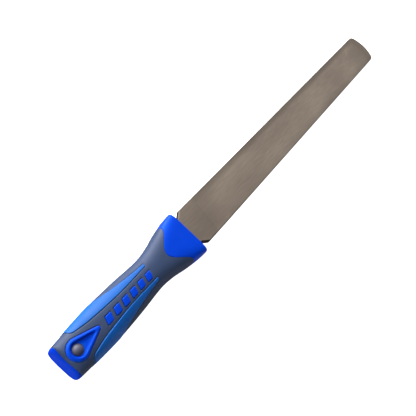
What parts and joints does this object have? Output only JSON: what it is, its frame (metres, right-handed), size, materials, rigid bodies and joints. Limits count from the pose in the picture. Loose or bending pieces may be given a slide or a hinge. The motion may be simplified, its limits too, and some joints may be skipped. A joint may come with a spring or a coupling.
{
  "type": "farrier rasp",
  "caption": "Long flat steel hoof rasp with a file face and a rasp face, its tang held in a two-colour moulded grip handle with a flared collar.",
  "frame": {"origin": "middle of the overall length, on the tool's long axis, half way through its thickness", "axes": "+X from the butt of the handle to the toe of the blade, +Z out of the file face, +Y to the left when looking at the toe"},
  "size_m": [0.545, 0.039, 0.025],
  "materials": {
    "blade_steel": "fine-cut hardened tool steel, satin, brownish grey",
    "hard_blue": "semi-gloss hard moulded plastic, bright blue",
    "strip_blue": "moulded plastic inlay with a fine dotted texture, mid blue",
    "soft_grip": "satin soft-touch elastomer, slate grey"
  },
  "bodies": {
    "root": {"rasp_blade": "blade_steel", "handle_core": "hard_blue", "soft_grip": "soft_grip", "front_collar": "hard_blue", "butt_cap": "hard_blue", "eye_plug": "soft_grip", "eye_bezel_file_side": "hard_blue", "eye_bezel_rasp_side": "hard_blue", "grip_strip_file_left": "strip_blue", "grip_strip_file_right": "strip_blue", "grip_strip_rasp_left": "strip_blue", "grip_strip_rasp_right": "strip_blue", "mark_bar_file_1": "hard_blue", "mark_bar_file_2": "hard_blue", "mark_bar_file_3": "hard_blue", "mark_bar_file_4": "hard_blue", "mark_bar_file_5": "hard_blue", "mark_bar_file_6": "hard_blue", "mark_bar_rasp_1": "hard_blue", "mark_bar_rasp_2": "hard_blue", "mark_bar_rasp_3": "hard_blue", "mark_bar_rasp_4": "hard_blue", "mark_bar_rasp_5": "hard_blue", "mark_bar_rasp_6": "hard_blue"}
  },
  "joints": []
}
